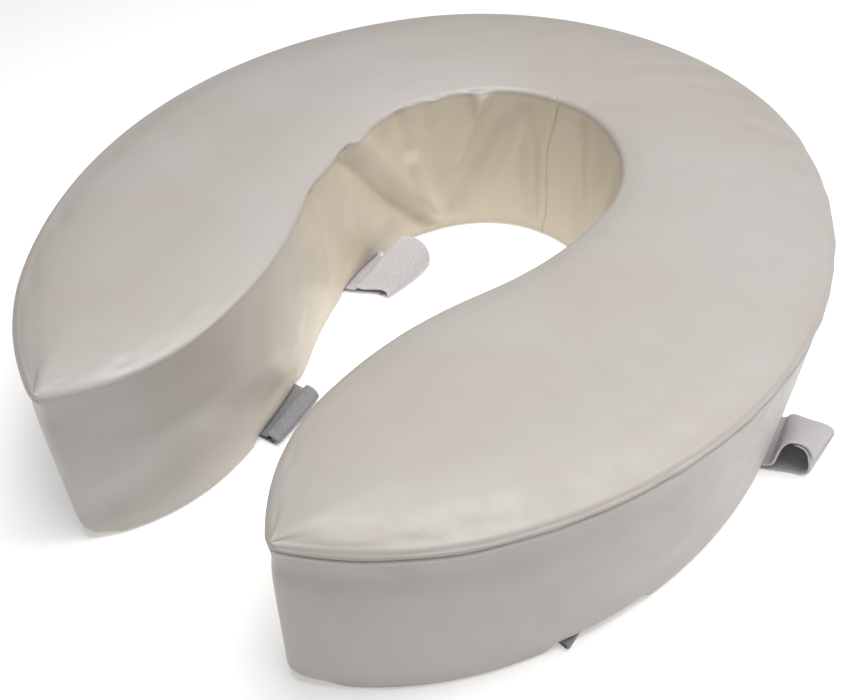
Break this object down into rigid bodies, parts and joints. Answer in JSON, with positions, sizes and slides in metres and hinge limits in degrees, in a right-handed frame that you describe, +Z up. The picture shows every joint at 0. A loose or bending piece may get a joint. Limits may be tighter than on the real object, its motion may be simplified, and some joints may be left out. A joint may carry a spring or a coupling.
{
  "type": "raised toilet seat",
  "caption": "Soft horseshoe foam cushion in a sewn vinyl cover that raises a toilet seat, with hook-and-loop straps that wrap under the seat ring.",
  "frame": {"origin": "underside, at the middle of the overall width and length", "axes": "+Z up through the cushion, +Y to the back of the toilet, so the open front faces -Y, +X to the right of a person facing the back"},
  "size_m": [0.4122, 0.4279, 0.1],
  "materials": {
    "foam": "matte",
    "vinyl": "satin",
    "loop_tape": "matte",
    "hook_tape": "matte",
    "thread": "matte"
  },
  "bodies": {
    "cushion": {"foam_core": "foam", "top_cover": "vinyl", "side_cover": "vinyl", "base_cover": "vinyl", "top_seam_thread": "thread", "base_seam_thread": "thread", "closing_seam_thread": "thread", "right_rear_strap_sewn_end": "loop_tape", "right_rear_tab_sewn_end": "hook_tape", "right_rear_strap_stitching": "thread", "left_rear_strap_sewn_end": "loop_tape", "left_rear_tab_sewn_end": "hook_tape", "left_rear_strap_stitching": "thread", "right_front_strap_sewn_end": "loop_tape", "right_front_tab_sewn_end": "hook_tape", "right_front_strap_stitching": "thread", "left_front_strap_sewn_end": "loop_tape", "left_front_tab_sewn_end": "hook_tape", "left_front_strap_stitching": "thread"},
    "right_rear_strap": {"right_rear_strap_free_run": "loop_tape"},
    "right_rear_tab": {"right_rear_tab_free_end": "hook_tape"},
    "left_rear_strap": {"left_rear_strap_free_run": "loop_tape"},
    "left_rear_tab": {"left_rear_tab_free_end": "hook_tape"},
    "right_front_strap": {"right_front_strap_free_run": "loop_tape"},
    "right_front_tab": {"right_front_tab_free_end": "hook_tape"},
    "left_front_strap": {"left_front_strap_free_run": "loop_tape"},
    "left_front_tab": {"left_front_tab_free_end": "hook_tape"}
  },
  "joints": [
    {"name": "right_rear_strap_drop", "type": "hinge", "parent": "cushion", "child": "right_rear_strap", "pos_m": [0.04994, 0.01035, 0.00095], "axis": [-0.0872, 0.9962, 0], "range_deg": [0, 85]},
    {"name": "right_rear_tab_peel", "type": "hinge", "parent": "cushion", "child": "right_rear_tab", "pos_m": [0.19239, 0.02281, 0.01925], "axis": [0.0872, -0.9962, 0], "range_deg": [0, 110]},
    {"name": "left_rear_strap_drop", "type": "hinge", "parent": "cushion", "child": "left_rear_strap", "pos_m": [-0.04994, 0.01035, 0.00095], "axis": [-0.0872, -0.9962, 0], "range_deg": [0, 85]},
    {"name": "left_rear_tab_peel", "type": "hinge", "parent": "cushion", "child": "left_rear_tab", "pos_m": [-0.19239, 0.02281, 0.01925], "axis": [0.0872, 0.9962, 0], "range_deg": [0, 110]},
    {"name": "right_front_strap_drop", "type": "hinge", "parent": "cushion", "child": "right_front_strap", "pos_m": [0.14384, -0.11772, 0.00095], "axis": [-0.1392, -0.9903, 0], "range_deg": [0, 85]},
    {"name": "right_front_tab_peel", "type": "hinge", "parent": "cushion", "child": "right_front_tab", "pos_m": [0.02993, -0.10171, 0.01325], "axis": [0.1392, 0.9903, 0], "range_deg": [0, 110]},
    {"name": "left_front_strap_drop", "type": "hinge", "parent": "cushion", "child": "left_front_strap", "pos_m": [-0.14384, -0.11772, 0.00095], "axis": [-0.1392, 0.9903, 0], "range_deg": [0, 85]},
    {"name": "left_front_tab_peel", "type": "hinge", "parent": "cushion", "child": "left_front_tab", "pos_m": [-0.02993, -0.10171, 0.01325], "axis": [0.1392, -0.9903, 0], "range_deg": [0, 110]}
  ]
}
